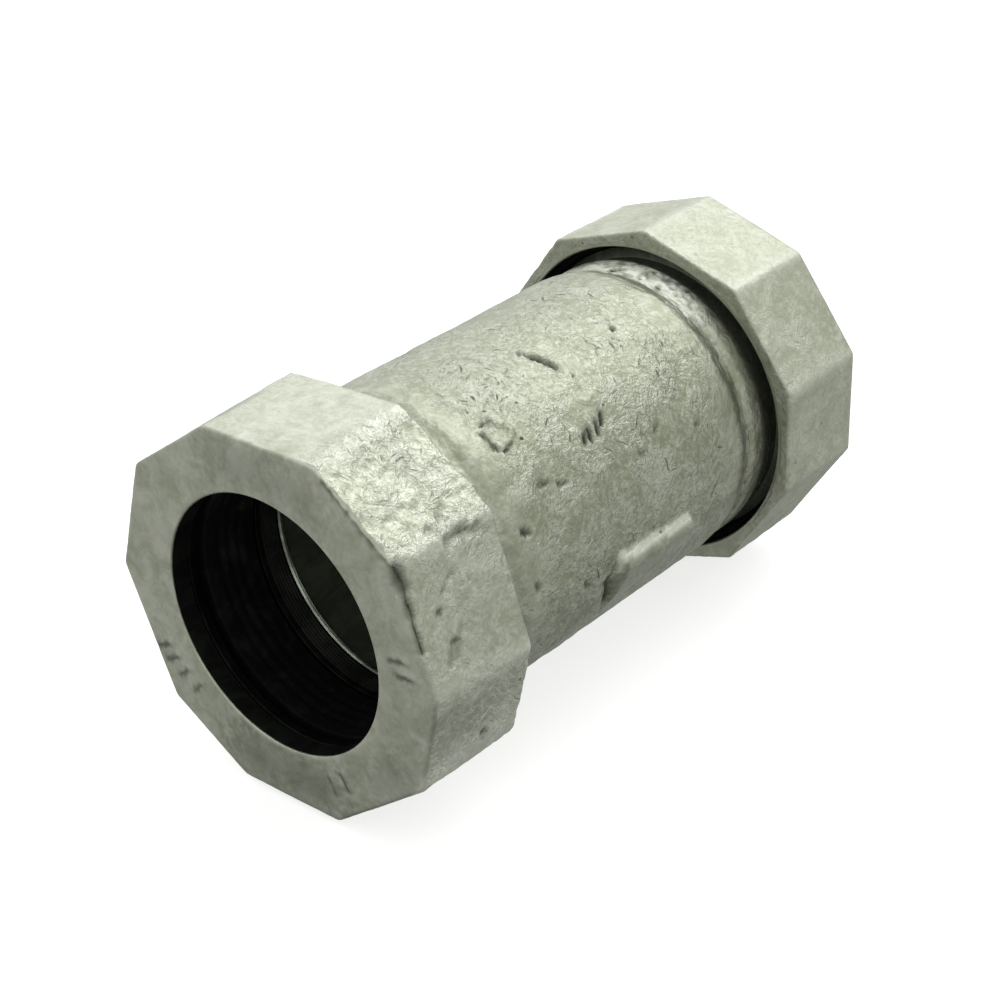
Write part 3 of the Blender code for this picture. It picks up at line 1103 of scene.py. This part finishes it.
@dataclass
class PackingSet:
    """What one nut presses on: a retaining washer, a rubber gasket and a split grip ring."""

    side: Side
    steel: bpy.types.Material
    painted_glint: bpy.types.Material
    rubber: bpy.types.Material
    rib_count: int = 4
    tooth_pitch: float = 0.45
    slot_width: float = 2.4

    def build(self) -> list[bpy.types.Object]:
        """Build the three rings and return them."""
        return [self.washer(), self.gasket(), self.grip_ring()]

    def take_place(self, piece: Workpiece, node: str, body: str, finish: bpy.types.Material) -> bpy.types.Object:
        """Finish a ring and let it stand for its CAD node.

        Args:
            piece: The ring's mesh.
            node: The CAD node.
            body: The CAD body that it moves with.
            finish: Its material.

        Returns:
            The finished ring.
        """
        piece.face_out()
        made = piece.finish([finish, self.painted_glint], self.side)
        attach(made, body)
        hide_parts(node)
        return made

    def washer(self) -> bpy.types.Object:
        """Build the flat washer, with one stamped edge round and the other sharp."""
        node = f"{self.side.value}_retaining_washer"
        room = Envelope.of(node)
        piece = Workpiece(f"{self.side.value}_washer")
        outline = [
            (room.start, room.inner, 0.3),
            (room.start, room.outer, 0.3),
            (room.stop, room.outer, 0.06),
            (room.stop, room.inner, 0.06),
        ]
        piece.turn(outline, 160)
        return self.take_place(piece, node, f"{self.side.value}_washer", self.steel)

    def gasket(self) -> bpy.types.Object:
        """Build the top-hat gasket, with sealing ribs inside."""
        node = f"{self.side.value}_gasket"
        room = Envelope.of(node)
        seat = Envelope.of("coupling_body").start
        flange_end = seat - 0.3
        neck = 18.4
        piece = Workpiece(f"{self.side.value}_rubber_gasket")
        ribs: Outline = []
        rib_room = (room.stop - room.start - 2.0) / self.rib_count
        for index in range(self.rib_count, 0, -1):
            crest = room.start + 1.0 + rib_room * (index - 0.5)
            ribs.append((crest + rib_room * 0.45, room.inner + 0.35, 0.25))
            ribs.append((crest, room.inner, 0.35))
        outline = [
            (room.start, room.inner + 0.1, 0.3),
            (room.start, room.outer, 0.35),
            (flange_end, room.outer, 0.35),
            (flange_end, neck, 0.2),
            (room.stop, neck - 0.15, 0.2),
            (room.stop, room.inner + 0.2, 0.15),
            *ribs,
        ]
        piece.turn(outline, 160)
        return self.take_place(piece, node, "coupling", self.rubber)

    def grip_ring(self) -> bpy.types.Object:
        """Build the split ring, with biting teeth inside."""
        node = f"{self.side.value}_grip_ring"
        room = Envelope.of(node)
        piece = Workpiece(f"{self.side.value}_split_ring")
        teeth: Outline = []
        count = int((room.stop - room.start - 1.2) / self.tooth_pitch)
        for index in range(count, 0, -1):
            root = room.start + 0.4 + self.tooth_pitch * index
            teeth.append((root, room.inner + 0.18, 0.0))
            teeth.append((root - self.tooth_pitch / 2, room.inner, 0.0))
        outline = [
            (room.start, room.inner + 0.2, 0.1),
            (room.start, room.outer, 0.12),
            (room.stop, room.outer - 0.1, 0.12),
            (room.stop, room.inner + 0.1, 0.05),
            (room.stop - 0.35, room.inner, 0.08),
            (room.stop - 0.65, room.inner + 0.26, 0.05),
            *teeth,
        ]
        piece.turn(outline, 150, gap=self.slot_width / room.outer)
        # The inner wall at the ring's rear end takes the bright steel: a painted highlight, a thin bright arc.
        for face in piece.edit.faces:
            middle = face.calc_center_median()
            in_painted_glint = middle.x > room.stop - 0.6 and math.hypot(middle.y, middle.z) < room.inner + 0.4
            face.material_index = int(in_painted_glint)
        return self.take_place(piece, node, "coupling", self.steel)


# ---------------------------------------------------------------- the studio


@dataclass(frozen=True)
class Studio:
    """Camera, floor and soft lights."""

    look_at: tuple[float, float, float] = (-2.08, 0.49, -2.23)
    distance: float = 278.4
    heading: float = 48.29
    elevation: float = 28.83
    roll: float = -3.26
    lens: float = 76.86

    def build(self) -> None:
        """Set up the whole studio."""
        self.camera()
        self.floor()
        self.world()
        self.softbox("softbox_top", (430, 0, 480), 560, 1.95)
        self.softbox("softbox_back", (330, 480, 290), 420, 0.5)
        bpy.context.scene.view_settings.view_transform = "Standard"

    def camera(self) -> None:
        """Place the camera."""
        data = bpy.data.cameras.new("camera")
        data.lens = self.lens
        data.clip_start = 0.01
        camera = bpy.data.objects.new("camera", data)
        bpy.context.scene.collection.objects.link(camera)
        turn = (
            Matrix.Rotation(-math.radians(self.heading), 4, "Z")
            @ Matrix.Rotation(math.radians(90 - self.elevation), 4, "X")
            @ Matrix.Rotation(math.radians(self.roll), 4, "Z")
        )
        back = turn @ Vector((0, 0, self.distance))
        place = (Vector(self.look_at) + back) * MM
        camera.matrix_world = Matrix.Translation(place) @ turn
        bpy.context.scene.camera = camera

    def floor(self) -> None:
        """Lay a plain pale floor under the coupling."""
        edit = bmesh.new()
        bmesh.ops.create_grid(edit, x_segments=4, y_segments=4, size=3.0)
        bmesh.ops.translate(edit, verts=edit.verts, vec=(0, 0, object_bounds()[0].z))
        mesh = bpy.data.meshes.new("floor")
        edit.to_mesh(mesh)
        edit.free()
        floor = bpy.data.objects.new("floor", mesh)
        bpy.context.scene.collection.objects.link(floor)
        graph = Graph.of_material("floor_paper")
        white = (1.0, 1.0, 1.0, 1.0)
        graph.set(Base_Color=(0.42, 0.42, 0.41, 1.0), Roughness=0.9, Emission_Color=white, Emission_Strength=0.72)
        mesh.materials.append(graph.owner)
        # The metal mirrors the studio round it, not the lit paper.
        floor.visible_glossy = False
        floor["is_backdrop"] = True

    def world(self) -> None:
        """Surround the coupling with pale light that falls off downwards."""
        world = bpy.data.worlds.new("studio")
        graph = Graph(world)
        direction = graph.node("ShaderNodeTexCoord", output="Generated")
        height = graph.node("ShaderNodeSeparateXYZ", {}, {"Vector": direction}, "Z")
        beyond = graph.node("ShaderNodeSeparateXYZ", {}, {"Vector": direction}, "X").between(-0.3, 0.5) * 0.15
        below = height.between(-0.74, -0.50) * 0.40
        above = height.between(-0.10, 0.60) * 0.45
        graph.set(Color=(0.975, 1.0, 0.97, 1.0), Strength=0.24 + below + above + beyond)
        bpy.context.scene.world = world

    def softbox(self, name: str, place: tuple[float, float, float], size: float, power: float) -> None:
        """Hang a square softbox that faces the coupling.

        Args:
            name: Its name.
            place: Its middle, in millimetres.
            size: Its side, in millimetres.
            power: Its power in watts.
        """
        data = bpy.data.lights.new(name, "AREA")
        data.energy = power
        data.color = (0.955, 0.955, 1.0)
        data.size = size * MM
        light = bpy.data.objects.new(name, data)
        bpy.context.scene.collection.objects.link(light)
        aim = Vector(place).to_track_quat("Z", "Y").to_matrix().to_4x4()
        light.matrix_world = Matrix.Translation(Vector(place) * MM) @ aim


def near_marks() -> list[Mark]:
    """Return the dents of the near nut and the plain bars cast on its face, with painted shade and painted shadows
    among them.
    """
    r = 25.6
    marks = [
        # A broken rear corner
        Mark(around(9.0, 145.5, r), around(11.6, 144.5, r + 0.3), 1.1, -0.55, 0.5),
        Mark(around(11.4, 146, r), around(13.6, 146.5, r), 1.0, -0.50, 0.35),
        Mark(around(9.6, 139, r - 0.6), around(11.4, 137, r - 0.8), 0.8, -0.35, 0.3),
        Mark(around(7.0, 141, r - 0.4), around(8.8, 140, r - 0.5), 0.7, -0.30, 0.3),
        # Dents and pits low on the front
        Mark(around(4.2, 174, r), around(5.6, 170.5, r - 0.3), 1.0, -0.50, 0.5),
        Mark(around(5.8, 169.5, r - 0.4), around(7.2, 168, r - 0.6), 0.8, -0.30, 0.2),
        Mark(around(4.5, 160, r - 0.7), around(4.9, 161.5, r - 0.7), 0.6, -0.45, 0.9),
        Mark(around(6.0, 156.5, r - 0.6), around(8.4, 153, r - 0.3), 0.8, -0.35, 0.3),
        Mark(around(10.0, 204.5, r), around(10.6, 206.5, r), 0.7, -0.45, 0.9),
        Mark(around(11.2, 206, r), around(11.8, 207, r), 0.6, -0.40, 0.7),
        # An undercut wedge that runs down the front edge from a corner, its dark bottom painted shade
        Mark(around(0.6, 145, r + 0.1), around(0.6, 150, r - 0.5), 1.5, -0.70, 1.0, 0.3),
        Mark(around(0.5, 149, r - 0.5), around(0.5, 157, r - 0.7), 1.15, -0.60, 1.0, 0.3),
        Mark(around(0.4, 156, r - 0.7), around(0.4, 167, r - 0.8), 0.75, -0.55, 1.0, 0.3),
        Mark(around(0.4, 116, r - 0.5), around(0.4, 143, r - 0.3), 0.45, -0.25, 0.6),
    ]
    # Broad dark patches on the face: the one low on the face is painted shade, the others are smudges.
    smudges_and_shade = [(255, 285, 21.5, 6.5, 0.42), (75, 112, 21.0, 5.0, 0.2), (214, 226, 22.5, 3.5, 0.2)]
    for angle, onward, radius, reach, shade_and_soil in smudges_and_shade:
        marks.append(Mark(around(0.2, angle, radius), around(0.2, onward, radius), reach, 0.0, shade_and_soil))
    bars = [(334, 22.2), (329, 21.6), (323, 20.9), (316, 20.2), (247, 20.9), (240, 20.6), (171, 20.9), (176, 21.8)]
    for angle, radius in bars:
        low, high = around(0.2, angle, radius - 1.0), around(0.2, angle, radius + 1.0)
        # Each bar gets a dark dent beside it, below and to one side: a painted shadow.
        shadow_offset = Vector((0, 0.55, -0.45))
        marks.append(Mark(low, high, 0.6, 0.16))
        marks.append(Mark(low + shadow_offset, high + shadow_offset, 0.6, -0.15, 0.65))
    return marks


def build_coupling() -> list[bpy.types.Object]:
    """Build every piece of the coupling and return them."""
    body_skin = GalvanisedCasting("galvanised_body").material()
    nut_skin = GalvanisedCasting(
        "galvanised_nut",
        plain=(0.465, 0.476, 0.402, 1.0),
        dull=(0.30, 0.314, 0.242, 1.0),
        roughness=0.27,
        shade_and_soil=0.5,
    ).material()
    far_skin = GalvanisedCasting(
        "galvanised_far_nut",
        plain=(0.455, 0.467, 0.39, 1.0),
        dull=(0.31, 0.324, 0.25, 1.0),
        roughness=0.42,
        stroke_depth=0.08,
        hatch_depth=0.085,
        worm_depth=0.18,
        shade_and_soil=0.3,
    ).material()
    # Dark colours, painted shade inside the barrel.
    bore = DarkBore("dark_bore").material()
    # Near-black, painted shade inside the nuts.
    nut_inside = DarkBore(
        "nut_inside", dark=(0.004, 0.005, 0.004, 1.0), light=(0.012, 0.014, 0.011, 1.0)
    ).material()
    # The near-black steel of the washers and grip rings is painted shade.
    steel = PlatedSteel("plated_steel_rings").material()
    # A bright steel for a painted highlight on the grip rings.
    painted_glint = PlatedSteel(
        "painted_glint_steel", clean=(0.50, 0.53, 0.45, 1.0), dusty=(0.20, 0.215, 0.175, 1.0), roughness=0.28
    ).material()
    rubber = MouldedRubber("packing_rubber").material()
    near_nut = GlandNut(
        Side.NEAR,
        nut_skin,
        nut_inside,
        stray={1: (0.0, 25.4), 2: (4.1, 26.1), 5: (-4.8, 26.7), 8: (-5.8, 26.1)},
        stray_back={1: (-3.6, 26.0), 4: (2.9, 26.1), 5: (-3.2, 26.8)},
        rough_facets={2: 0.6, 3: 1.5, 4: 1.0, 5: 1.2},
        marks=near_marks(),
        relief=CastSkin(wave=0.16, dimple=0.08, crease=0.10, seed=11.0),
    )
    far_nut = GlandNut(
        Side.FAR,
        far_skin,
        nut_inside,
        phase=17.0,
        calm=0.15,
        stray={8: (2.6, 24.9)},
        stray_back={8: (2.6, 24.9)},
        marks=[Mark(around(15.6, 41, 25.2), around(15.9, 39.5, 25.2), 0.9, -0.5)],
        relief=CastSkin(wave=0.13, dimple=0.05, crease=0.05, seed=23.0),
    )
    pieces = [CastBody(body_skin, bore).build(), near_nut.build(), far_nut.build()]
    for side in Side:
        pieces += PackingSet(side, steel, painted_glint, rubber).build()
    return pieces


def main() -> None:
    """Build the studio and the coupling."""
    logging.basicConfig(level=logging.INFO, format="%(name)s: %(message)s")
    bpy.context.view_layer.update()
    Studio().build()
    for piece in build_coupling():
        LOG.info("%s: %d faces", piece.name, len(piece.data.polygons))


if __name__ == "__main__":
    main()
